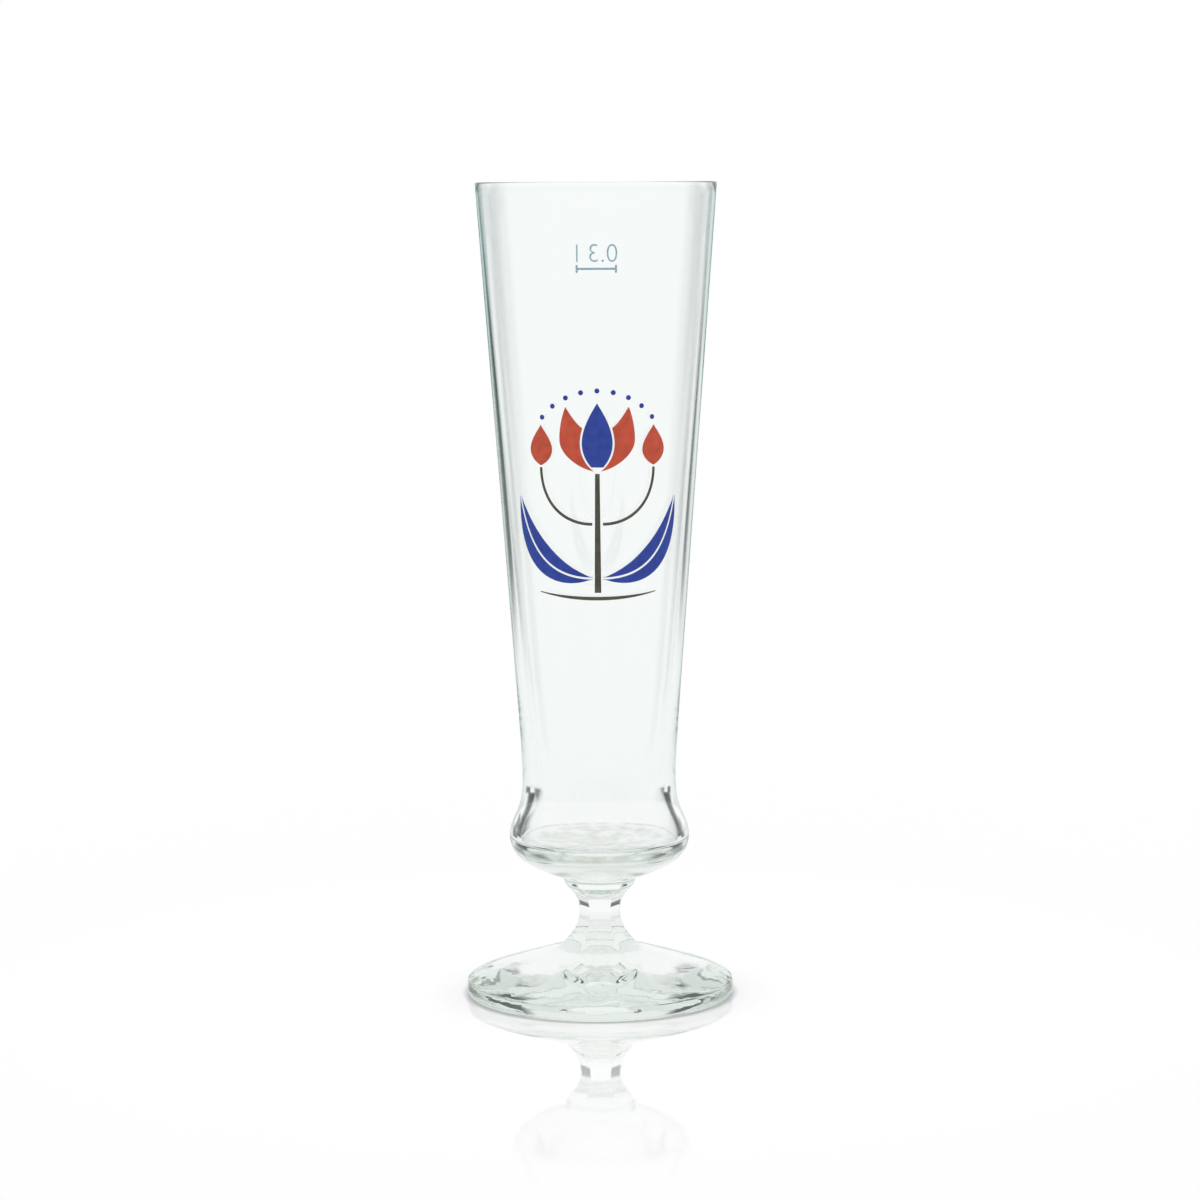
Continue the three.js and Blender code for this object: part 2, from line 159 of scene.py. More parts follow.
class Wire:
    """An output socket in a node graph that takes part in Python arithmetic."""

    def __init__(self, graph: "Graph", socket: bpy.types.NodeSocket) -> None:
        """Wrap a socket of a graph."""
        self.graph = graph
        self.socket = socket

    def _math(self, operation: str, *values: Any) -> "Wire":
        """Add one Math node on these values and return its output."""
        return self.graph.wire("ShaderNodeMath", 0, {"operation": operation}, dict(enumerate(values)))

    def __add__(self, other: Any) -> "Wire":
        """Sum."""
        return self._math("ADD", self, other)

    def __radd__(self, other: Any) -> "Wire":
        """Sum with a number on the left."""
        return self._math("ADD", other, self)

    def __sub__(self, other: Any) -> "Wire":
        """Difference."""
        return self._math("SUBTRACT", self, other)

    def __rsub__(self, other: Any) -> "Wire":
        """Difference with a number on the left."""
        return self._math("SUBTRACT", other, self)

    def __mul__(self, other: Any) -> "Wire":
        """Product."""
        return self._math("MULTIPLY", self, other)

    def __truediv__(self, other: Any) -> "Wire":
        """Quotient."""
        return self._math("DIVIDE", self, other)

    def __rtruediv__(self, other: Any) -> "Wire":
        """Quotient with a number on the left."""
        return self._math("DIVIDE", other, self)

    def __mod__(self, other: Any) -> "Wire":
        """Remainder, never negative for a positive divisor."""
        return self._math("FLOORED_MODULO", self, other)

    def __pow__(self, other: Any) -> "Wire":
        """Power."""
        return self._math("POWER", self, other)

    def floor(self) -> "Wire":
        """Largest whole number that isn't above the value."""
        return self._math("FLOOR", self)

    def sine(self) -> "Wire":
        """Sine of an angle in radians."""
        return self._math("SINE", self)

    def cosine(self) -> "Wire":
        """Cosine of an angle in radians."""
        return self._math("COSINE", self)

    def arcsine(self) -> "Wire":
        """Angle in radians that has this sine."""
        return self._math("ARCSINE", self)

    def angle_with(self, other: Any) -> "Wire":
        """Angle in radians of the point that has this value up and the other across."""
        return self._math("ARCTAN2", self, other)

    def at_most(self, other: Any) -> "Wire":
        """Smaller of two values."""
        return self._math("MINIMUM", self, other)

    def smooth(self, low: float, high: float) -> "Wire":
        """0 up to low, 1 from high, with a soft step between."""
        sockets = {"Value": self, "From Min": low, "From Max": high}
        return self.graph.wire("ShaderNodeMapRange", "Result", {"interpolation_type": "SMOOTHSTEP"}, sockets)


class Rays(Enum):
    """What a ray did last before it met a surface of the studio."""

    SEEN = "Is Camera Ray"
    GLOSSY = "Is Glossy Ray"
    PASSED = "Is Transmission Ray"


class Graph:
    """A node tree that is filled through one method."""

    def __init__(self, tree: bpy.types.NodeTree) -> None:
        """Take an empty node tree."""
        self.tree = tree

    def node(
        self,
        kind: str,
        settings: dict[str, Any] | None = None,
        sockets: dict[str | int, Any] | None = None,
    ) -> bpy.types.Node:
        """Add a node.

        Args:
            kind: The node's type.
            settings: Its settings, set first; "stops" holds a ramp's places and colours.
            sockets: Values or wires for its inputs, by name or by number.

        Returns:
            The new node.
        """
        node = self.tree.nodes.new(kind)
        for name, value in (settings or {}).items():
            if name == "stops":
                self._set_stops(node.color_ramp, value)
            else:
                setattr(node, name, value)
        for key, value in (sockets or {}).items():
            if isinstance(value, Wire):
                self.tree.links.new(value.socket, node.inputs[key])
            else:
                node.inputs[key].default_value = value
        return node

    @staticmethod
    def _set_stops(ramp: bpy.types.ColorRamp, stops: Sequence[tuple[float, Colour]]) -> None:
        """Give a ramp its stops.

        Args:
            ramp: A new ramp.
            stops: Places from 0 to 1 with their colours.
        """
        while len(ramp.elements) < len(stops):
            ramp.elements.new(1.0)
        for element, (place, colour) in zip(ramp.elements, stops):
            element.position = place
            element.color = (*colour, 1.0)

    def wire(
        self,
        kind: str,
        output: str | int,
        settings: dict[str, Any] | None = None,
        sockets: dict[str | int, Any] | None = None,
    ) -> Wire:
        """Add a node as the method above does and return one of its outputs."""
        return Wire(self, self.node(kind, settings, sockets).outputs[output])

    def rays(self, kind: Rays) -> Wire:
        """1 for rays of this kind, else 0."""
        return self.wire("ShaderNodeLightPath", kind.value)

    def split(self, vector: Wire) -> tuple[Wire, Wire, Wire]:
        """The three parts of a vector."""
        node = self.node("ShaderNodeSeparateXYZ", sockets={0: vector})
        return Wire(self, node.outputs[0]), Wire(self, node.outputs[1]), Wire(self, node.outputs[2])

    def noise(self, place: Wire, noise: Noise) -> Wire:
        """Soft noise from 0 to 1, given by its scale in turns for each metre and its detail."""
        sockets = {"Vector": place, "Scale": noise[0], "Detail": noise[1]}
        return self.wire("ShaderNodeTexNoise", "Fac", sockets=sockets)

    def blend(self, share: Any, first: Any, second: Any) -> Wire:
        """Colour that lies a share of the way from the first to the second."""
        sockets = {0: share, 6: self._solid(first), 7: self._solid(second)}
        return self.wire("ShaderNodeMix", 2, {"data_type": "RGBA"}, sockets)

    @staticmethod
    def _solid(colour: Any) -> Any:
        """Colour with full opacity, or a wire as it is."""
        return colour if isinstance(colour, Wire) else (*colour, 1.0)


def material_graph(name: str) -> tuple[bpy.types.Material, Graph, bpy.types.Node]:
    """New material with an empty graph.

    Args:
        name: The material's name.

    Returns:
        The material, its graph and its output node.
    """
    material = bpy.data.materials.new(name)
    material.use_nodes = True
    material.node_tree.nodes.clear()
    graph = Graph(material.node_tree)
    return material, graph, graph.node("ShaderNodeOutputMaterial")


@dataclass(frozen=True)
class GlassFinish:
    """Clear glass, faintly green in its thick places, wavy in the foot and soiled on the hollow's bottom."""

    name: str = "clear_glass"
    ior: float = 1.52
    tint: Colour = (0.4, 0.57, 0.43)
    tint_density: float = 4.4
    clear: Colour = (0.972, 0.986, 0.983)
    ripple_noise: Noise = (38.0, 1.0)
    ripple_height: float = 0.01 * MM
    wave_noise: Noise = (130.0, 1.5)
    wave_gain: float = 16.0
    wave_top: Span = (13.0 * MM, 30.0 * MM)
    wear_noise: Noise = (900.0, 4.0)
    wear_reach: Span = (0.62, 0.8)
    wear_roughness: float = 0.012
    dirt_colour: Colour = (0.54, 0.56, 0.5)
    dirt_roughness: float = 0.16
    dirt_noise: Noise = (260.0, 5.0)
    dirt_reach: Span = (0.25, 0.7)
    bottom_level: float = 42.9 * MM
    bottom_depth: float = 1.6 * MM

    def material(self) -> bpy.types.Material:
        """Build the glass.

        Returns:
            The material, which tints light on its way through the glass.
        """
        material, graph, output = material_graph(self.name)
        place = graph.wire("ShaderNodeTexCoord", "Object")
        height = graph.split(place)[2]
        from_bottom = height - self.bottom_level
        near = 1.0 - (from_bottom * from_bottom).smooth(0.0, self.bottom_depth ** 2)
        soil = near * graph.noise(place, self.dirt_noise).smooth(*self.dirt_reach)
        wear = graph.noise(place, self.wear_noise).smooth(*self.wear_reach)
        ripples = graph.noise(place, self.ripple_noise)
        waves = graph.noise(place, self.wave_noise) * (1.0 - height.smooth(*self.wave_top))
        uneven = graph.wire("ShaderNodeBump", "Normal", sockets={
            "Strength": 1.0,
            "Distance": self.ripple_height,
            "Height": ripples + waves * self.wave_gain,
        })
        glass = graph.wire("ShaderNodeBsdfPrincipled", "BSDF", sockets={
            "Base Color": graph.blend(soil, self.clear, self.dirt_colour),
            "Roughness": soil * self.dirt_roughness + wear * self.wear_roughness,
            "IOR": self.ior,
            "Transmission Weight": 1.0,
            "Normal": uneven,
        })
        tint = graph.wire("ShaderNodeVolumeAbsorption", "Volume", sockets={
            "Color": (*self.tint, 1.0), "Density": self.tint_density})
        graph.tree.links.new(glass.socket, output.inputs["Surface"])
        graph.tree.links.new(tint.socket, output.inputs["Volume"])
        return material


class ShapeTree(Graph):
    """A Geometry Nodes tree with named inputs that ends in realized and dressed geometry."""

    def __init__(self, name: str, inputs: dict[str, str]) -> None:
        """Start a tree.

        Args:
            name: The tree's name.
            inputs: Names of its inputs with their socket types, besides the geometry and the material.
        """
        super().__init__(bpy.data.node_groups.new(name, "GeometryNodeTree"))
        face = self.tree.interface
        face.new_socket("Geometry", in_out="INPUT", socket_type="NodeSocketGeometry")
        for label, kind in inputs.items():
            face.new_socket(label, in_out="INPUT", socket_type=kind)
        face.new_socket("Material", in_out="INPUT", socket_type="NodeSocketMaterial")
        face.new_socket("Geometry", in_out="OUTPUT", socket_type="NodeSocketGeometry")
        self._inputs = self.node("NodeGroupInput")

    def given(self, name: str) -> Wire:
        """The tree's own input with this name."""
        return Wire(self, self._inputs.outputs[name])

    def close(self, geometry: Wire) -> None:
        """End the tree.

        Args:
            geometry: What the tree has made, which is realized and gets the material.
        """
        real = self.wire("GeometryNodeRealizeInstances", 0, sockets={0: geometry})
        finish = {"Geometry": real, "Material": self.given("Material")}
        dressed = self.wire("GeometryNodeSetMaterial", 0, sockets=finish)
        self.node("NodeGroupOutput", sockets={0: dressed})

    def vector(self, x: Any, y: Any, z: Any) -> Wire:
        """A vector from its three parts."""
        return self.wire("ShaderNodeCombineXYZ", 0, sockets={0: x, 1: y, 2: z})

    def run(self, name: str, start: bpy.types.Mesh, values: dict[str, Any]) -> bpy.types.Object:
        """Make a piece.

        Args:
            name: The piece's name.
            start: The mesh that goes in.
            values: Values of the tree's inputs by name.

        Returns:
            An object at the origin that holds the result as a plain mesh.
        """
        piece = bpy.data.objects.new(name, start)
        bpy.context.scene.collection.objects.link(piece)
        modifier = piece.modifiers.new(name, "NODES")
        modifier.node_group = self.tree
        for item in self.tree.interface.items_tree:
            if item.in_out == "INPUT" and item.name in values:
                modifier[item.identifier] = values[item.name]
        evaluated = piece.evaluated_get(bpy.context.evaluated_depsgraph_get())
        mesh = bpy.data.meshes.new_from_object(evaluated)
        piece.modifiers.remove(modifier)
        piece.data = mesh
        mesh.name = name
        bpy.data.meshes.remove(start)
        return piece


def loose_mesh(name: str, points: Sequence[Sequence[float]], edges: Sequence[Sequence[int]] = (),
               faces: Sequence[Sequence[int]] = ()) -> bpy.types.Mesh:
    """Mesh from points and what joins them.

    Args:
        name: The mesh's name.
        points: Places in metres.
        edges: Pairs of points.
        faces: Rings of points.

    Returns:
        The mesh.
    """
    mesh = bpy.data.meshes.new(name)
    mesh.from_pydata(points, edges, faces)
    mesh.update()
    return mesh


@dataclass(frozen=True)
class GlassPulls:
    """Pulls of the curves of the glass, as shares of the height or width that each curve spans."""

    dish: float = 0.45
    dish_lip: float = 0.1
    edge: float = 0.15
    brim_run: float = 0.12
    brim_rise: float = 0.3
    brim_end: float = 0.45
    stem_end: float = 0.33
    stem_neck: float = 0.5
    underside_run: float = 0.6
    underside_rise: float = 0.27
    shoulder: float = 0.5
    bulb: float = 0.35
    waist: float = 0.6
    flare_start: float = 0.12
    flare_end: float = 0.66
    hollow_waist: float = 0.5
    hollow_bulb: float = 0.26
    corner_drop: float = 0.38
    corner: float = 0.16
    floor: float = 0.4


@dataclass
class GlassBody:
    """The bowl, stem and foot, which are fused hot into one vessel. Sizes are in millimetres."""

    foot_radius: float = 37.9
    foot_edge_height: float = 2.3
    foot_crease_height: float = 4.1
    foot_crease_inset: float = 0.3
    foot_shoulder_radius: float = 28.0
    foot_shoulder_height: float = 8.1
    foot_height: float = 13.55
    rest_ring_outer: float = 36.4
    rest_ring_inner: float = 31.0
    dish_depth: float = 3.2
    stem_length: float = 17.75
    stem_panels: int = 6
    stem_neck_radius: float = 5.7
    stem_neck_rise: float = 10.25
    stem_top_radius: float = 9.8
    stem_foot_radius: float = 11.0
    stem_flare: float = 0.8
    stem_end_blend: float = 2.2
    collar_radius: float = 10.4
    collar_height: float = 2.2
    bulb_radius: float = 25.35
    bulb_rise: float = 14.1
    waist_radius: float = 21.6
    waist_rise: float = 30.2
    taper_radius: float = 23.35
    taper_rise: float = 59.7
    rim_radius: float = 33.55
    bowl_height: float = 197.7
    rim_wall: float = 0.7
    taper_wall: float = 2.4
    waist_wall: float = 3.6
    bulb_wall: float = 3.0
    hollow_bulb_drop: float = 0.3
    bottom_thickness: float = 11.4
    bottom_dish: float = 0.6
    bottom_corner_inset: float = 6.0
    polish_spread: float = 0.7
    round_steps: int = 192
    curve_steps: int = 24
    wall_steps: int = 48
    short_steps: int = 4
    lip_steps: int = 12
    pulls: GlassPulls = field(default_factory=GlassPulls)
    finish: GlassFinish = field(default_factory=GlassFinish)

    @property
    def bowl_base(self) -> float:
        """Level where the bowl sits on the stem."""
        return self.foot_height + self.stem_length

    @property
    def taper_level(self) -> float:
        """Level from which the wall is straight."""
        return self.bowl_base + self.taper_rise

    @property
    def rim_level(self) -> float:
        """Level of the rim."""
        return self.bowl_base + self.bowl_height

    @property
    def wall_slope(self) -> float:
        """Growth of the outer radius with height on the straight wall."""
        return (self.rim_radius - self.taper_radius) / (self.rim_level - self.taper_level)

    def foot_line(self) -> list[Point]:
        """Outline of the foot.

        Returns:
            Radii and heights from the middle of the dish up to the stem.
        """
        steps = self.curve_steps
        pulls = self.pulls
        dish = (0.0, self.dish_depth)
        ring_inner = (self.rest_ring_inner, 0.0)
        ring_outer = (self.rest_ring_outer, 0.0)
        edge = (self.foot_radius, self.foot_edge_height)
        crease = (self.foot_radius - self.foot_crease_inset, self.foot_crease_height)
        shoulder = (self.foot_shoulder_radius, self.foot_shoulder_height)
        seat = (self.stem_foot_radius, self.foot_height)
        slope = (seat[1] - shoulder[1]) / (shoulder[0] - seat[0])
        brim = crease[0] - shoulder[0]
        dish_pull = pulls.dish * self.rest_ring_inner
        dish_end = (-dish_pull, pulls.dish_lip * self.dish_depth)
        brim_pull = (-pulls.brim_run * brim, pulls.brim_rise * (shoulder[1] - crease[1]))
        brim_end = pulls.brim_end * brim
        return joined([
            pull(dish, (dish_pull, 0.0), dish_end, ring_inner, steps),
            straight(ring_inner, ring_outer, self.short_steps),
            bezier((ring_outer, (edge[0], pulls.edge * edge[1]), edge), steps // 2),
            straight(edge, crease, self.short_steps),
            pull(crease, brim_pull, (brim_end, -brim_end * slope), shoulder, steps),
            straight(shoulder, seat, steps // 2),
        ])

    def stem_line(self) -> list[Point]:
        """Line of the corners between the stem's panels.

        Returns:
            Radii and heights from the foot up to the bowl.
        """
        steps = self.curve_steps
        base = (self.stem_foot_radius, self.foot_height)
        neck = (self.stem_neck_radius, self.foot_height + self.stem_neck_rise)
        top = (self.stem_top_radius, self.bowl_base)
        lower = neck[1] - base[1]
        upper = top[1] - neck[1]
        low_end = self.pulls.stem_end * lower
        high_end = self.pulls.stem_end * upper
        low_neck = self.pulls.stem_neck * lower
        high_neck = self.pulls.stem_neck * upper
        return joined([
            pull(base, (-self.stem_flare * low_end, low_end), (0.0, -low_neck), neck, steps),
            pull(neck, (0.0, high_neck), (-self.stem_flare * high_end, -high_end), top, steps),
        ])

    def outside_line(self) -> list[Point]:
        """Outside of the bowl.

        Returns:
            Radii and heights from the stem up to the rim.
        """
        steps = self.curve_steps
        pulls = self.pulls
        seat = (self.stem_top_radius, self.bowl_base)
        collar = (self.collar_radius, self.bowl_base + self.collar_height)
        bulb = (self.bulb_radius, self.bowl_base + self.bulb_rise)
        waist = (self.waist_radius, self.bowl_base + self.waist_rise)
        taper = (self.taper_radius, self.taper_level)
        rim = (self.rim_radius, self.rim_level - self.rim_wall / 2)
        under = bulb[1] - collar[1]
        swell = waist[1] - bulb[1]
        flare = taper[1] - waist[1]
        under_pull = (pulls.underside_run * (bulb[0] - collar[0]), pulls.underside_rise * under)
        end = pulls.flare_end * flare
        return joined([
            straight(seat, collar, self.short_steps),
            pull(collar, under_pull, (0.0, -pulls.shoulder * under), bulb, steps),
            pull(bulb, (0.0, pulls.bulb * swell), (0.0, -pulls.waist * swell), waist, steps),
            pull(waist, (0.0, pulls.flare_start * flare), (-end * self.wall_slope, -end), taper, steps),
            straight(taper, rim, self.wall_steps),
        ])

    def inside_line(self) -> list[Point]:
        """Inside of the bowl.

        Returns:
            Radii and heights from the rim down to the middle of the bottom.
        """
        steps = self.curve_steps
        pulls = self.pulls
        bulb_level = self.bowl_base + self.bulb_rise - self.hollow_bulb_drop
        rim = (self.rim_radius - self.rim_wall, self.rim_level - self.rim_wall / 2)
        taper = (self.taper_radius - self.taper_wall, self.taper_level)
        waist = (self.waist_radius - self.waist_wall, self.bowl_base + self.waist_rise)
        bulb = (self.bulb_radius - self.bulb_wall, bulb_level)
        middle = (0.0, self.bowl_base + self.bottom_thickness)
        corner = (bulb[0] - self.bottom_corner_inset, middle[1] + self.bottom_dish)
        slope = (rim[0] - taper[0]) / (rim[1] - taper[1])
        flare = taper[1] - waist[1]
        swell = waist[1] - bulb[1]
        drop = bulb[1] - corner[1]
        end = pulls.flare_end * flare
        corner_pull = (pulls.corner * self.bottom_corner_inset, 0.0)
        floor_pull = pulls.floor * corner[0]
        return joined([
            straight(rim, taper, self.wall_steps),
            pull(taper, (-end * slope, -end), (0.0, pulls.flare_start * flare), waist, steps),
            pull(waist, (0.0, -pulls.hollow_waist * swell), (0.0, pulls.hollow_bulb * swell), bulb, steps),
            pull(bulb, (0.0, -pulls.corner_drop * drop), corner_pull, corner, steps),
            pull(corner, (-floor_pull, 0.0), (floor_pull, 0.0), middle, steps // 2),
        ])

    def lip_line(self) -> list[Point]:
        """Half round of the rim.

        Returns:
            Radii and heights from the outside of the wall to the inside.
        """
        half = self.rim_wall / 2
        middle = (self.rim_radius - half, self.rim_level - half)
        turns = evenly(0.0, math.pi, self.lip_steps)
        return [(middle[0] + half * math.cos(turn), middle[1] + half * math.sin(turn)) for turn in turns]

    def tree(self) -> ShapeTree:
        """Tree that turns an outline round the axis and presses the stem's flat panels into it.

        Returns:
            The tree, with inputs for the steps round the axis and for the panels.
        """
        tree = ShapeTree("turned_and_panelled", {
            "Steps": "NodeSocketInt", "Panels": "NodeSocketInt", "Panel Bottom": "NodeSocketFloat",
            "Panel Top": "NodeSocketFloat", "End Blend": "NodeSocketFloat"})
        nudge = 1e-4
        outline = tree.given("Geometry")
        steps = tree.given("Steps")
        around = steps + 1
        count = tree.wire("GeometryNodeAttributeDomainSize", "Point Count", sockets={0: outline})
        grid = tree.wire("GeometryNodeMeshGrid", "Mesh", sockets={"Vertices X": count, "Vertices Y": around})
        index = tree.wire("GeometryNodeInputIndex", 0)
        row = (index / around + nudge).floor()
        turn = (index - row * around) * FULL_TURN / steps
        spot = tree.wire("GeometryNodeSampleIndex", "Value", {"data_type": "FLOAT_VECTOR"}, {
            "Geometry": outline, "Value": tree.wire("GeometryNodeInputPosition", 0), "Index": row})
        radius, _, height = tree.split(spot)
        panel_angle = FULL_TURN / tree.given("Panels")
        from_middle = turn % panel_angle - panel_angle / 2
        panel = (panel_angle / 2).cosine() / from_middle.cosine()
        from_end = (height - tree.given("Panel Bottom")).at_most(tree.given("Panel Top") - height)
        flat = (from_end / tree.given("End Blend")).smooth(0.0, 1.0)
        pressed = radius * (1.0 + (panel - 1.0) * flat)
        place = tree.vector(pressed * turn.cosine(), pressed * turn.sine(), height)
        turned = tree.wire("GeometryNodeSetPosition", 0, sockets={"Geometry": grid, "Position": place})
        closed = tree.wire("GeometryNodeMergeByDistance", 0, sockets={
            "Geometry": turned, "Distance": MERGE_DISTANCE})
        outward = tree.wire("GeometryNodeFlipFaces", 0, sockets={0: closed})
        tree.close(tree.wire("GeometryNodeSetShadeSmooth", 0, sockets={0: outward}))
        return tree

    def build(self) -> bpy.types.Object:
        """Make the vessel.

        Returns:
            The fused glass, which stands for the bowl, the stem and the foot.
        """
        outer = joined([self.foot_line(), self.stem_line(), self.outside_line()])
        bulb_level = self.bowl_base + self.bulb_rise
        melted = fire_polished(outer, self.foot_crease_height, bulb_level, self.polish_spread)
        line = joined([melted, self.lip_line(), self.inside_line()])
        points = [(radius * MM, 0.0, height * MM) for radius, height in line]
        edges = [(i, i + 1) for i in range(len(points) - 1)]
        vessel = self.tree().run("glass_body", loose_mesh("outline", points, edges), {
            "Steps": self.round_steps, "Panels": self.stem_panels,
            "Panel Bottom": self.foot_height * MM, "Panel Top": self.bowl_base * MM,
            "End Blend": self.stem_end_blend * MM, "Material": self.finish.material()})
        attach(vessel, BODY)
        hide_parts("bowl", "stem", "foot")
        return vessel


class Side(Enum):
    """Side of the print as seen from its front."""

    LEFT = -1
    RIGHT = 1


class Facing(Enum):
    """Side of the glass that a mark faces, as the angle of its middle from +X to +Y."""

    FRONT = -math.pi / 2
    BACK = math.pi / 2


def band(pairs: Iterable[Pair], across: int) -> Rows:
    """Rows of points that fill the space between pairs of points, with so many steps across."""
    return [straight(first, last, across) for first, last in pairs]


def ribbon(path: Sequence[Point], inner: Callable[[float], float], outer: Callable[[float], float],
           across: int) -> Rows:
    """Rows of points along a path, between two offsets to the left of it.

    Args:
        path: Points of the path.
        inner: Offset of the near edge at a share of the path.
        outer: Offset of the far edge at a share of the path.
        across: Number of steps in a row.

    Returns:
        One row for each point of the path.
    """
    pairs: list[Pair] = []
    last = len(path) - 1
    for place, (x, y) in enumerate(path):
        before = path[max(place - 1, 0)]
        after = path[min(place + 1, last)]
        length = math.hypot(after[0] - before[0], after[1] - before[1])
        left = (-(after[1] - before[1]) / length, (after[0] - before[0]) / length)
        near, far = inner(place / last), outer(place / last)
        pairs.append(((x + left[0] * near, y + left[1] * near), (x + left[0] * far, y + left[1] * far)))
    return band(pairs, across)


def mirrored(rows: Rows, side: Side) -> Rows:
    """The rows as they are on the right, or turned over for the left."""
    return [[(side.value * x, y) for x, y in row] for row in rows]


def slabs(name: str, fields: Sequence[Rows], lift: float, thickness: float) -> bpy.types.Mesh:
    """Flat closed slabs, one for each field of rows.

    Args:
        name: The mesh's name.
        fields: Rows of points in millimetres.
        lift: Height of the slabs' undersides in millimetres.
        thickness: Thickness in millimetres.

    Returns:
        The mesh in metres, flat on XY, with faces that point out.
    """
    points: list[tuple[float, float, float]] = []
    faces: list[tuple[int, ...]] = []
    smooth: list[bool] = []
    for rows in fields:
        middle, after = rows[len(rows) // 2], rows[len(rows) // 2 + 1]
        (ax, ay), (bx, by), (cx, cy) = middle[0], middle[-1], after[0]
        turned = (bx - ax) * (cy - ay) - (by - ay) * (cx - ax) < 0
        lines = [row[::-1] for row in rows] if turned else rows
        wide = len(lines[0])
        layer = wide * len(lines)
        start = len(points)
        for level in (lift, lift + thickness):
            points.extend((x * MM, y * MM, level * MM) for row in lines for x, y in row)
        flat: list[tuple[int, ...]] = []
        for line in range(len(lines) - 1):
            for step in range(wide - 1):
                a = start + line * wide + step
                b, c, d = a + 1, a + wide + 1, a + wide
                flat.append((a, d, c, b))
                flat.append((a + layer, b + layer, c + layer, d + layer))
        rim = [start + step for step in range(wide)]
        rim += [start + line * wide + wide - 1 for line in range(1, len(lines))]
        rim += [start + layer - 1 - step for step in range(1, wide)]
        rim += [start + line * wide for line in range(len(lines) - 2, 0, -1)]
        walls = [(a, b, b + layer, a + layer) for a, b in zip(rim, rim[1:] + rim[:1])]
        faces += flat + walls
        smooth += [True] * len(flat) + [False] * len(walls)
    mesh = loose_mesh(name, points, (), faces)
    mesh.polygons.foreach_set("use_smooth", smooth)
    return mesh


@dataclass(frozen=True)
class Enamel:
    """Fired enamel of one colour, a little uneven in tone and gloss."""

    slot: str
    colour: Colour
    unevenness: float = 0.16
    least_light: float = 0.004
    shade_reach: Span = (0.25, 0.75)
    roughness: float = 0.3
    gloss_change: float = 0.18
    cloud_noise: Noise = (420.0, 3.0)
    grain_noise: Noise = (5200.0, 2.0)
    grain_share: float = 0.3
    grain_strength: float = 0.35
    grain_height: float = 0.02 * MM

    def material(self) -> bpy.types.Material:
        """Build the enamel.

        Returns:
            The material, or the one that was built before.
        """
        name = self.slot + "_fired"
        found = bpy.data.materials.get(name)
        if found:
            return found
        material, graph, output = material_graph(name)
        place = graph.wire("ShaderNodeTexCoord", "Object")
        cloud = graph.noise(place, self.cloud_noise)
        grain = graph.noise(place, self.grain_noise)
        shade = (cloud * (1.0 - self.grain_share) + grain * self.grain_share).smooth(*self.shade_reach)
        dark = tuple(value * (1.0 - self.unevenness) for value in self.colour)
        light = tuple(min(1.0, value * (1.0 + self.unevenness) + self.least_light) for value in self.colour)
        relief = graph.wire("ShaderNodeBump", "Normal", sockets={
            "Strength": self.grain_strength, "Distance": self.grain_height, "Height": grain})
        coat = graph.wire("ShaderNodeBsdfPrincipled", "BSDF", sockets={
            "Base Color": graph.blend(shade, dark, light),
            "Roughness": cloud * self.gloss_change + (self.roughness - self.gloss_change / 2),
            "Normal": relief,
        })
        graph.tree.links.new(coat.socket, output.inputs["Surface"])
        return material


BRICK = Enamel("enamel_brick", (0.50, 0.058, 0.02))
BLUE = Enamel("enamel_blue", (0.009, 0.035, 0.29))
OLIVE = Enamel("enamel_olive", (0.064, 0.057, 0.035), 0.3)
PALE_BLUE = Enamel("enamel_pale_blue", (0.42, 0.78, 1.0), 0.08)


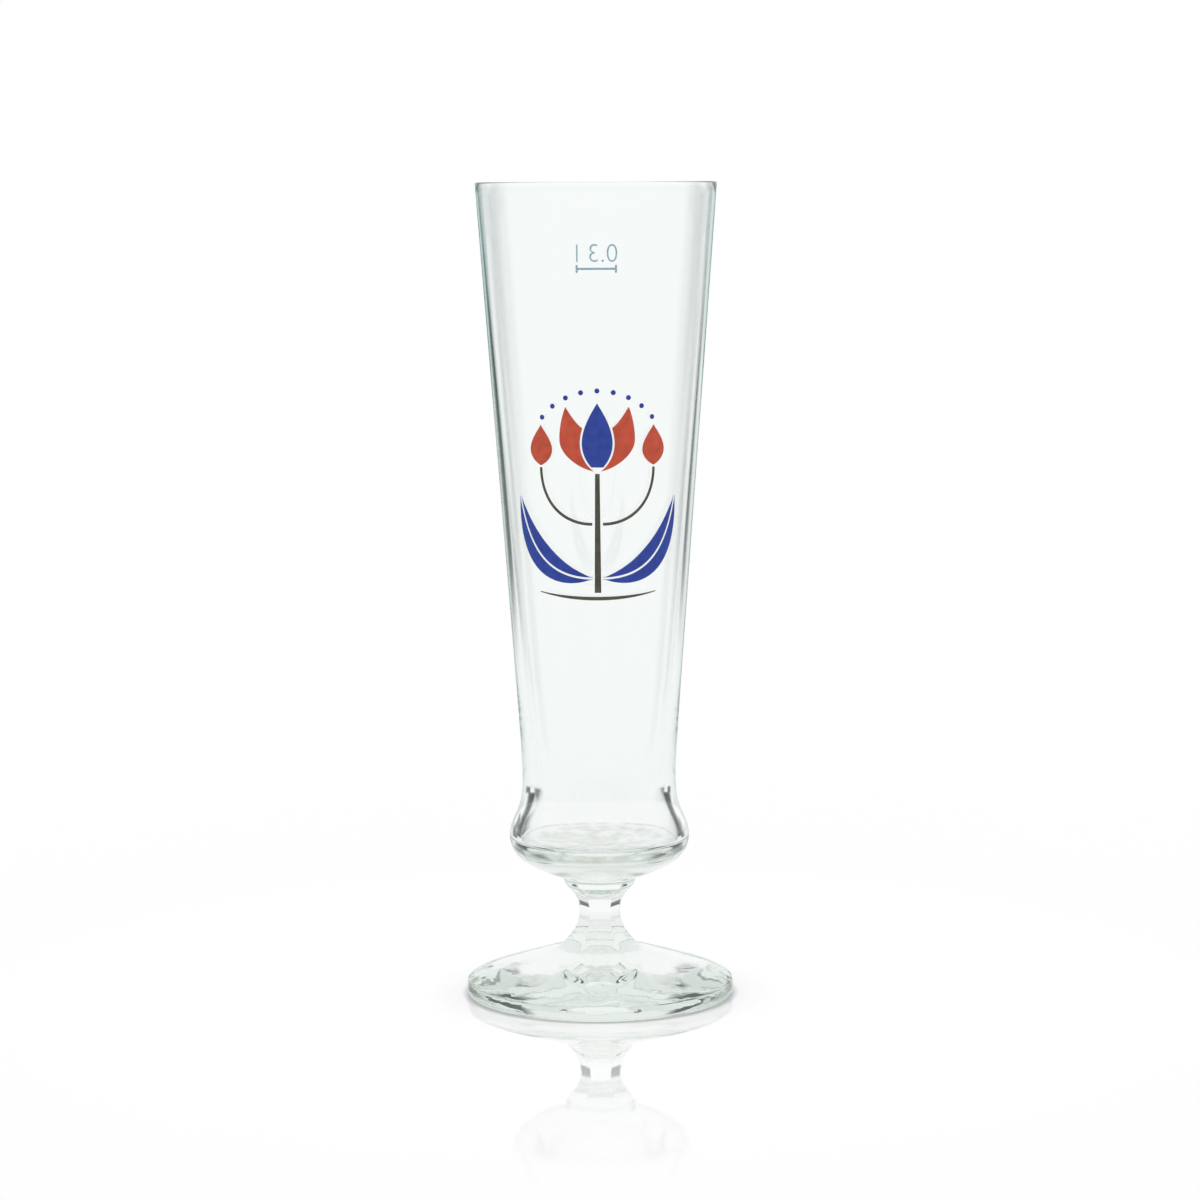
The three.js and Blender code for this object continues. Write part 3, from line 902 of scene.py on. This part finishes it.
@dataclass
class Wall:
    """The straight outer wall of the bowl, which carries the enamel. Sizes are in millimetres."""

    radius_at_zero: float
    slope: float
    clearance: float = 0.02
    thickness: float = 0.05
    dot_sides: int = 20

    def __post_init__(self) -> None:
        """Make the two trees that lay things on the wall."""
        inputs = {name: "NodeSocketFloat" for name in ("Facing", "Radius", "Slope")}
        self._wrap = ShapeTree("laid_on_wall", inputs)
        self._wrap.close(self._laid(self._wrap, self._wrap.given("Geometry")))
        dots = ShapeTree("dots_on_wall", inputs | {"Dot": "NodeSocketFloat", "Depth": "NodeSocketFloat"})
        disc = dots.wire("GeometryNodeMeshCylinder", "Mesh", sockets={
            "Vertices": self.dot_sides, "Radius": dots.given("Dot"), "Depth": dots.given("Depth")})
        placed = dots.wire("GeometryNodeInstanceOnPoints", 0, sockets={
            "Points": dots.given("Geometry"), "Instance": disc})
        real = dots.wire("GeometryNodeRealizeInstances", 0, sockets={0: placed})
        dots.close(self._laid(dots, real))
        self._dots = dots

    @property
    def middle_lift(self) -> float:
        """Height of the middle of the enamel over the wall."""
        return self.clearance + self.thickness / 2

    @staticmethod
    def _laid(tree: ShapeTree, flat: Wire) -> Wire:
        """Bend flat geometry round the wall.

        Args:
            tree: The tree to work in.
            flat: Geometry with its height along Y and its lift along Z.

        Returns:
            The geometry on the wall.
        """
        along, height, lift = tree.split(tree.wire("GeometryNodeInputPosition", 0))
        radius = tree.given("Radius") + tree.given("Slope") * height
        turn = tree.given("Facing") + along / radius
        place = tree.vector((radius + lift) * turn.cosine(), (radius + lift) * turn.sine(), height)
        return tree.wire("GeometryNodeSetPosition", 0, sockets={"Geometry": flat, "Position": place})

    def _values(self, facing: Facing, enamel: Enamel) -> dict[str, Any]:
        """Input values that both trees take."""
        return {"Facing": facing.value, "Radius": self.radius_at_zero * MM, "Slope": self.slope,
                "Material": enamel.material()}

    def lay(self, name: str, flat: bpy.types.Mesh, facing: Facing, enamel: Enamel) -> bpy.types.Object:
        """Lay a flat mesh on the wall as a piece that rides with the glass."""
        return self._kept(self._wrap.run(name, flat, self._values(facing, enamel)), enamel)

    def fields(self, name: str, fields: Sequence[Rows], facing: Facing, enamel: Enamel) -> bpy.types.Object:
        """Lay flat fields of enamel on the wall as one piece."""
        return self.lay(name, slabs(name, fields, self.clearance, self.thickness), facing, enamel)

    def dots(self, name: str, spots: Sequence[Point], radius: float, facing: Facing,
             enamel: Enamel) -> bpy.types.Object:
        """Lay round dots on the wall as one piece.

        Args:
            name: The piece's name.
            spots: Places of the dots, along the wall and up.
            radius: Radius of a dot.
            facing: Side of the glass.
            enamel: What the dots are printed with.

        Returns:
            The piece.
        """
        points = loose_mesh(name, [(x * MM, y * MM, self.middle_lift * MM) for x, y in spots])
        values = self._values(facing, enamel) | {"Dot": radius * MM, "Depth": self.thickness * MM}
        return self._kept(self._dots.run(name, points, values), enamel)

    @staticmethod
    def _kept(piece: bpy.types.Object, enamel: Enamel) -> bpy.types.Object:
        """Let a piece ride with the glass.

        Args:
            piece: The piece.
            enamel: What it is made of; not used.

        Returns:
            The same piece.
        """
        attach(piece, BODY)
        return piece


@dataclass
class TulipPrint:
    """Front print: a tulip with leaves and buds. Millimetres; heights count from the print's middle."""

    wall: Wall
    level: float = 144.3
    gap: float = 0.55
    tip_width: float = 0.15
    bloom_half: float = 10.5
    bloom_base: float = 6.4
    bloom_widest: float = 15.2
    bloom_tip: float = 24.0
    bloom_tip_inset: float = 1.7
    bloom_valley: float = 18.4
    bloom_roundness: float = 0.6
    petal_lift: float = 0.15
    petal_point: float = 0.75
    heart_tip: float = 25.0
    heart_half: float = 4.2
    heart_lift: float = 1.2
    heart_fullness: float = 0.8
    heart_roundness: float = 0.9
    stalk_width: float = 1.8
    stalk_foot: float = -27.0
    stalk_thinning: float = 0.3
    leaf_reach: float = 24.0
    leaf_tip: float = -1.0
    leaf_root: float = -23.0
    leaf_width: float = 7.2
    leaf_bend: float = 0.8
    leaf_fullness: float = 0.8
    bud_centre: float = 16.2
    bud_base: float = 8.0
    bud_height: float = 11.0
    bud_width: float = 7.0
    bud_fullness: float = 0.75
    twig_width: float = 0.8
    twig_root: float = -8.0
    twig_bend: float = 0.6
    twig_turn: float = 0.4
    ground_half: float = 17.0
    ground_level: float = -28.6
    ground_rise: float = 1.5
    ground_end_width: float = 0.24
    ground_width: float = 1.0
    arch_radius: float = 20.5
    arch_middle: float = 8.0
    arch_start: float = 40.0
    arch_end: float = 140.0
    arch_dots: int = 9
    dot_radius: float = 0.7
    step: float = 0.5
    line_steps: int = 2
    stalk_steps: int = 4
    stalk_rows: int = 40
    petal_rows: int = 44
    leaf_rows: int = 56
    bud_rows: int = 30
    twig_rows: int = 48
    ground_rows: int = 64

    def _raised(self, rows: Rows) -> Rows:
        """Rows moved from the print's middle to their height on the glass."""
        return [[(x, y + self.level) for x, y in row] for row in rows]

    def _across(self, width: float) -> int:
        """Number of steps over a width."""
        return max(2, math.ceil(width / self.step))

    def heart_edge(self, height: float) -> float:
        """Half width of the middle petal at a height."""
        share = min(max((height - self.bloom_base) / (self.heart_tip - self.bloom_base), 0.0), 1.0)
        return self.heart_half * math.sin(math.pi * share ** self.heart_fullness) ** self.heart_roundness

    def bloom_edge(self, height: float) -> float:
        """Half width of the whole flower.

        Args:
            height: Height over the print's middle.

        Returns:
            The half width there.
        """
        if height < self.bloom_widest:
            share = (height - self.bloom_base) / (self.bloom_widest - self.bloom_base)
            return self.bloom_half * math.sin(math.pi / 2 * share) ** self.bloom_roundness
        share = (height - self.bloom_widest) / (self.bloom_tip - self.bloom_widest)
        return self.bloom_half - self.bloom_tip_inset * share ** 2

    def petal(self) -> Rows:
        """Right outer petal, beside the bare line round the middle petal.

        Returns:
            Its rows from the base to the tip.
        """
        tip = self.bloom_half - self.bloom_tip_inset - self.tip_width
        inner_valley = self.heart_edge(self.bloom_valley) + self.gap
        pairs: list[Pair] = []
        for height in evenly(self.bloom_base + self.petal_lift, self.bloom_tip, self.petal_rows):
            inner = self.heart_edge(height) + self.gap
            if height > self.bloom_valley:
                rise = (height - self.bloom_valley) / (self.bloom_tip - self.bloom_valley)
                inner = mix(inner_valley, tip, rise ** self.petal_point)
            outer = max(self.bloom_edge(height), inner + self.tip_width)
            pairs.append(((inner, height), (outer, height)))
        return self._raised(band(pairs, self._across(self.bloom_half)))

    def heart(self) -> Rows:
        """Middle petal.

        Returns:
            Its rows from the base to the tip.
        """
        pairs: list[Pair] = []
        for height in evenly(self.bloom_base + self.heart_lift, self.heart_tip, self.petal_rows):
            half = max(self.heart_edge(height), self.tip_width)
            pairs.append(((-half, height), (half, height)))
        return self._raised(band(pairs, self._across(2 * self.heart_half)))

    def stalk(self) -> Rows:
        """Stalk, a little thinner at its top.

        Returns:
            Its rows from the foot up to the flower.
        """
        path = straight((0.0, self.stalk_foot), (0.0, self.bloom_base - self.gap), self.stalk_rows)

        def half(share: float) -> float:
            """Half width of the stalk."""
            return self.stalk_width / 2 * (1 - self.stalk_thinning * share)

        return self._raised(ribbon(path, lambda share: -half(share), half, self.stalk_steps))

    def leaf_halves(self) -> list[Rows]:
        """Right leaf, in two halves with a bare rib between them.

        Returns:
            The rows of the upper half and of the lower half, from the root to the tip.
        """
        root = (self.stalk_width / 2 + self.gap, self.leaf_root)
        bend = (self.leaf_bend * self.leaf_reach, self.leaf_root)
        path = bezier((root, bend, (self.leaf_reach, self.leaf_tip)), self.leaf_rows)
        rib = self.gap / 2
        full = self.leaf_width / 2

        def edge(share: float) -> float:
            """Distance of the leaf's edge from its rib."""
            return max(full * math.sin(math.pi * share) ** self.leaf_fullness, rib + self.tip_width)

        across = self._across(full)
        upper = ribbon(path, lambda share: rib, edge, across)
        lower = ribbon(path, lambda share: -rib, lambda share: -edge(share), across)
        return [self._raised(upper), self._raised(lower)]

    def bud(self) -> Rows:
        """Right bud.

        Returns:
            Its rows from the base to the tip.
        """
        pairs: list[Pair] = []
        for share in evenly(0.0, 1.0, self.bud_rows):
            half = max(self.bud_width / 2 * math.sin(math.pi * share ** self.bud_fullness), self.tip_width)
            height = self.bud_base + self.bud_height * share
            pairs.append(((self.bud_centre - half, height), (self.bud_centre + half, height)))
        return self._raised(band(pairs, self._across(self.bud_width)))

    def twig(self) -> Rows:
        """Thin stalk of the right bud.

        Returns:
            Its rows from the stalk up to the bud.
        """
        root = (self.stalk_width / 2 + self.gap, self.twig_root)
        end = (self.bud_centre, self.bud_base - self.gap)
        bend = (self.twig_bend * end[0], self.twig_root)
        turn = (end[0], mix(self.twig_root, end[1], self.twig_turn))
        path = bezier((root, bend, turn, end), self.twig_rows)
        half = self.twig_width / 2
        return self._raised(ribbon(path, lambda share: -half, lambda share: half, self.line_steps))

    def ground(self) -> Rows:
        """Line of ground under the plant, thin at its ends.

        Returns:
            Its rows from left to right.
        """
        path = [(x, self.ground_level + self.ground_rise * (x / self.ground_half) ** 2)
                for x in evenly(-self.ground_half, self.ground_half, self.ground_rows)]

        def half(share: float) -> float:
            """Half width of the line."""
            return mix(self.ground_end_width, self.ground_width, math.sin(math.pi * share)) / 2

        return self._raised(ribbon(path, lambda share: -half(share), half, self.line_steps))

    def arch(self) -> list[Point]:
        """Places of the dots that stand in an arch over the flower.

        Returns:
            The places on the glass from right to left.
        """
        middle = self.level + self.arch_middle
        radius = self.arch_radius
        turns = [math.radians(turn) for turn in evenly(self.arch_start, self.arch_end, self.arch_dots - 1)]
        return [(radius * math.cos(turn), middle + radius * math.sin(turn)) for turn in turns]

    def build(self) -> list[bpy.types.Object]:
        """Make the print's pieces.

        Returns:
            The pieces; all but the dots stand for solids of the same names.
        """
        front = Facing.FRONT
        fields: list[tuple[str, list[Rows], Enamel]] = [
            ("heart", [self.heart()], BLUE),
            ("stalk", [self.stalk()], OLIVE),
            ("ground", [self.ground()], OLIVE),
        ]
        for side in Side:
            label = side.name.lower()
            fields += [
                (f"petal_{label}", [mirrored(self.petal(), side)], BRICK),
                (f"leaf_{label}", [mirrored(half, side) for half in self.leaf_halves()], BLUE),
                (f"twig_{label}", [mirrored(self.twig(), side)], OLIVE),
                (f"bud_{label}", [mirrored(self.bud(), side)], BRICK),
            ]
        pieces: list[bpy.types.Object] = []
        for label, rows, enamel in fields:
            piece = self.wall.fields(f"print_{label}", rows, front, enamel)
            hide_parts(f"print_{label}")
            pieces.append(piece)
        pieces.append(self.wall.dots("print_dots", self.arch(), self.dot_radius, front, BLUE))
        return pieces


@dataclass
class LevelMark:
    """Level line on the back of the bowl with its measure above it. Sizes are in millimetres."""

    wall: Wall
    level: float = 203.8
    length: float = 12.2
    width: float = 0.6
    tick_height: float = 2.2
    tick_width: float = 0.6
    words: str = "0.3 l"
    word_height: float = 5.6
    word_lift: float = 1.9
    word_thinning: float = 0.12
    font_size_per_height: float = 1.36
    letter_steps: int = 6
    line_rows: int = 24
    line_steps: int = 2
    tick_rows: int = 2
    tick_steps: int = 4

    def _upright(self, start: float, end: float, height: float, rows: int, steps: int) -> Rows:
        """Rows that stand side by side over the level, half of their height above it."""
        low, high = self.level - height / 2, self.level + height / 2
        return band([((x, low), (x, high)) for x in evenly(start, end, rows)], steps)

    def line(self) -> list[Rows]:
        """Line and its two end ticks.

        Returns:
            Three fields that meet.
        """
        end = self.length / 2
        bar = end - self.tick_width
        fields = [self._upright(-bar, bar, self.width, self.line_rows, self.line_steps)]
        for side in Side:
            near, far = side.value * bar, side.value * end
            fields.append(self._upright(near, far, self.tick_height, self.tick_rows, self.tick_steps))
        return fields

    def digits(self) -> bpy.types.Mesh:
        """Digits of the measure.

        Returns:
            A flat closed mesh.
        """
        font = bpy.data.curves.new("level_digits", "FONT")
        font.body = self.words
        font.align_x = "CENTER"
        font.size = self.word_height * self.font_size_per_height * MM
        font.extrude = self.wall.thickness / 2 * MM
        font.offset = -self.word_thinning * MM
        font.resolution_u = self.letter_steps
        writer = bpy.data.objects.new("level_digits", font)
        bpy.context.scene.collection.objects.link(writer)
        drawn = writer.evaluated_get(bpy.context.evaluated_depsgraph_get())
        mesh = bpy.data.meshes.new_from_object(drawn)
        bpy.data.objects.remove(writer)
        bpy.data.curves.remove(font)
        place = (0.0, (self.level + self.word_lift) * MM, self.wall.middle_lift * MM)
        mesh.transform(Matrix.Translation(place))
        work = bmesh.new()
        work.from_mesh(mesh)
        bmesh.ops.remove_doubles(work, verts=work.verts, dist=MERGE_DISTANCE)
        bmesh.ops.triangulate(work, faces=work.faces)
        bmesh.ops.recalc_face_normals(work, faces=work.faces)
        work.to_mesh(mesh)
        work.free()
        return mesh

    def build(self) -> list[bpy.types.Object]:
        """Make the mark.

        Returns:
            The line, which stands for the solid of its name, and the digits over it.
        """
        line = self.wall.fields("fill_line", self.line(), Facing.BACK, PALE_BLUE)
        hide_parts("fill_line")
        digits = self.wall.lay("fill_digits", self.digits(), Facing.BACK, PALE_BLUE)
        return [line, digits]


class Storey(Enum):
    """Part of the room by height."""

    LOW = "low"
    MIDDLE = "middle"
    HIGH = "high"


@dataclass(frozen=True)
class WhiteRoom:
    """White walls with dim corners between them. Angles are in degrees, counted from +X to +Y or up."""

    white: Colour = (1.0, 1.0, 1.0)
    haze: Colour = (0.72, 0.76, 0.75)
    dark: Colour = (0.055, 0.065, 0.063)
    mirrored: Colour = (0.12, 0.34, 0.32)
    horizon: Span = (-1.5, 1.0)
    middle_top: Span = (8.0, 14.0)
    corner_top: Span = (28.0, 44.0)

    def walls(self, storey: Storey) -> list[tuple[float, Colour]]:
        """Tones of the walls, whose corners are widest just above the table's horizon.

        Args:
            storey: Part of the room.

        Returns:
            Angles with the tones there; the tone changes evenly between them.
        """
        if storey is Storey.LOW:
            return [
                (14.0, self.white), (24.0, self.dark), (36.0, self.dark), (41.0, self.white),
                (48.0, self.white), (52.0, self.dark), (58.0, self.dark), (65.0, self.white),
                (106.0, self.white), (114.0, self.dark), (126.0, self.dark), (131.0, self.white),
                (140.0, self.white), (145.0, self.dark), (156.0, self.dark), (166.0, self.white),
            ]
        side = self.dark if storey is Storey.MIDDLE else self.haze
        return [
            (8.0, self.white), (18.0, side), (40.0, side),
            (46.0, self.dark), (55.0, self.dark), (62.0, self.white),
            (117.0, self.white), (125.0, self.dark), (135.0, self.dark),
            (141.0, side), (160.0, side), (170.0, self.white),
        ]

    def tone(self, graph: Graph, x: Wire, y: Wire, storey: Storey) -> Wire:
        """Tone of the walls in a direction.

        Args:
            graph: The graph to work in.
            x: Direction along X.
            y: Direction along Y.
            storey: Part of the room.

        Returns:
            The colour there.
        """
        turn = y.angle_with(x) % FULL_TURN / FULL_TURN
        stops = [(angle / 360.0, tone) for angle, tone in self.walls(storey)]
        return graph.wire("ShaderNodeValToRGB", 0, {"stops": stops}, {0: turn})

    def dress_world(self) -> None:
        """White to the camera and to dull surfaces; glass sees the corners and mirrors a dimmer room."""
        world = bpy.data.worlds.new("studio")
        world.use_nodes = True
        world.node_tree.nodes.clear()
        bpy.context.scene.world = world
        graph = Graph(world.node_tree)
        x, y, z = graph.split(graph.wire("ShaderNodeTexCoord", "Generated"))
        lift = z.arcsine() * math.degrees(1.0)
        low, middle, high = (self.tone(graph, x, y, storey) for storey in Storey)
        upper = graph.blend(lift.smooth(*self.middle_top), middle, high)
        over = lift.smooth(*self.horizon)
        wall = graph.blend(over, low, upper)
        corner = 1.0 - lift.smooth(*self.corner_top)
        passed = graph.rays(Rays.PASSED)
        below = (1.0 - over) * graph.rays(Rays.GLOSSY) * (1.0 - passed)
        colour = graph.blend(below, graph.blend(corner * passed, self.white, wall), self.mirrored)
        light = graph.wire("ShaderNodeBackground", 0, sockets={"Color": colour, "Strength": 1.0})
        graph.node("ShaderNodeOutputWorld", sockets={"Surface": light})


@dataclass
class Studio:
    """Pale table, white room and camera. Lengths are in metres, the lens and the sensor in millimetres."""

    room: WhiteRoom = field(default_factory=WhiteRoom)
    table_half: float = 2.2
    table_drop: float = 0.00005
    table_glow: float = 0.45
    table_noise: Noise = (40.0, 2.0)
    black: Colour = (0.0, 0.0, 0.0)
    # Painted light: rays that come off the glass see the table under the foot brighter, standing in for light
    # let through the foot.
    under: Span = (0.036, 0.05)
    painted_light_under_foot_gain: float = 0.35
    mirrored_share: float = 0.55
    # Painted contact shadow: a grey band round the foot's edge, seen by the camera only.
    painted_shadow_start: Span = (0.034, 0.0364)
    painted_shadow_end: Span = (0.0374, 0.0398)
    painted_shadow_share: float = 0.5
    painted_shadow_tone: Colour = (0.3, 0.3, 0.34)
    polish: float = 0.8
    polish_close: float = 0.4
    polish_ring: Span = (0.044, 0.056)
    polish_reach: Span = (0.06, 0.2)
    polish_glow_loss: float = 0.35
    polish_roughness: float = 0.02
    polish_change: float = 0.02
    far: Span = (0.45, 0.75)
    camera_distance: float = 0.9618
    camera_height: float = 0.229
    camera_side: float = 0.00053
    camera_tilt: float = 6.92
    camera_roll: float = -0.32
    camera_start: float = 0.01
    lens: float = 103.39
    sensor: float = 36.0
    bounces: int = 60

    def add_camera(self) -> None:
        """Place the camera level with the rim, in front of the print."""
        data = bpy.data.cameras.new("camera")
        data.lens = self.lens
        data.sensor_width = self.sensor
        data.clip_start = self.camera_start
        camera = bpy.data.objects.new("camera", data)
        bpy.context.scene.collection.objects.link(camera)
        place = Matrix.Translation((self.camera_side, -self.camera_distance, self.camera_height))
        aim = Matrix.Rotation(math.radians(90.0 - self.camera_tilt), 4, "X")
        roll = Matrix.Rotation(math.radians(self.camera_roll), 4, "Z")
        camera.matrix_world = place @ aim @ roll
        bpy.context.scene.camera = camera

    def table_finish(self) -> bpy.types.Material:
        """White table top that mirrors what stands on it and glows evenly white. Rays off the glass see three
        things: the room's dim corners, a dimmer mirrored tone further out, and painted light under the foot.
        The camera sees a painted contact shadow round the foot.

        Returns:
            The material.
        """
        material, graph, output = material_graph("table_white")
        place = graph.wire("ShaderNodeTexCoord", "Object")
        seen = graph.rays(Rays.SEEN)
        glossy = graph.rays(Rays.GLOSSY)
        x, y, _ = graph.split(place)
        away = (x * x + y * y) ** 0.5
        beyond = away.smooth(*self.polish_reach)
        corners = away.smooth(*self.far) * glossy
        tone = graph.blend(corners, self.room.white, self.room.tone(graph, x, y, Storey.LOW))
        dimmed = glossy * (1.0 - graph.rays(Rays.PASSED)) * beyond
        tone = graph.blend(dimmed * self.mirrored_share, tone, self.room.mirrored)
        # Painted contact shadow round the foot, for camera rays only.
        painted_shadow_ring = away.smooth(*self.painted_shadow_start) * (1.0 - away.smooth(*self.painted_shadow_end))
        tone = graph.blend(painted_shadow_ring * self.painted_shadow_share * seen, tone, self.painted_shadow_tone)
        close = away.smooth(*self.polish_ring) * (1.0 - self.polish_close) + self.polish_close
        polish = (1.0 - beyond) * seen * close
        # Painted light under the foot, for rays that come off the glass.
        under = (1.0 - away.smooth(*self.under)) * glossy
        glow = self.table_glow - polish * self.polish_glow_loss + under * self.painted_light_under_foot_gain
        grain = graph.noise(place, self.table_noise)
        top = graph.wire("ShaderNodeBsdfPrincipled", "BSDF", sockets={
            "Base Color": graph.blend(glow, tone, self.black),
            "Roughness": grain * self.polish_change + self.polish_roughness,
            "Metallic": polish * self.polish,
            "Specular IOR Level": 0.0,
            "Emission Color": graph.blend(glow, self.black, tone),
            "Emission Strength": 1.0,
        })
        graph.tree.links.new(top.socket, output.inputs["Surface"])
        return material

    def add_table(self) -> None:
        """Lay the square table top that the glass stands on."""
        half = self.table_half
        square = ((-half, -half), (half, -half), (half, half), (-half, half))
        corners = [(x, y, -self.table_drop) for x, y in square]
        table = bpy.data.objects.new("table", loose_mesh("table", corners, (), [(0, 1, 2, 3)]))
        table.data.materials.append(self.table_finish())
        bpy.context.scene.collection.objects.link(table)

    def build(self) -> None:
        """Set the camera, the table, the room and the view."""
        self.add_camera()
        self.add_table()
        self.room.dress_world()
        scene = bpy.context.scene
        scene.view_settings.view_transform = "Standard"
        scene.cycles.max_bounces = self.bounces
        scene.cycles.transmission_bounces = self.bounces
        scene.cycles.glossy_bounces = self.bounces


def main() -> None:
    """Build the studio and the glass, piece by piece."""
    logging.basicConfig(level=logging.INFO, format="%(message)s")
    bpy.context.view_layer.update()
    Studio().build()
    body = GlassBody()
    wall = Wall(body.taper_radius - body.wall_slope * body.taper_level, body.wall_slope)
    pieces = [body.build(), *TulipPrint(wall).build(), *LevelMark(wall).build()]
    for piece in pieces:
        LOG.info("%s: %d faces", piece.name, len(piece.data.polygons))


if __name__ == "__main__":
    main()
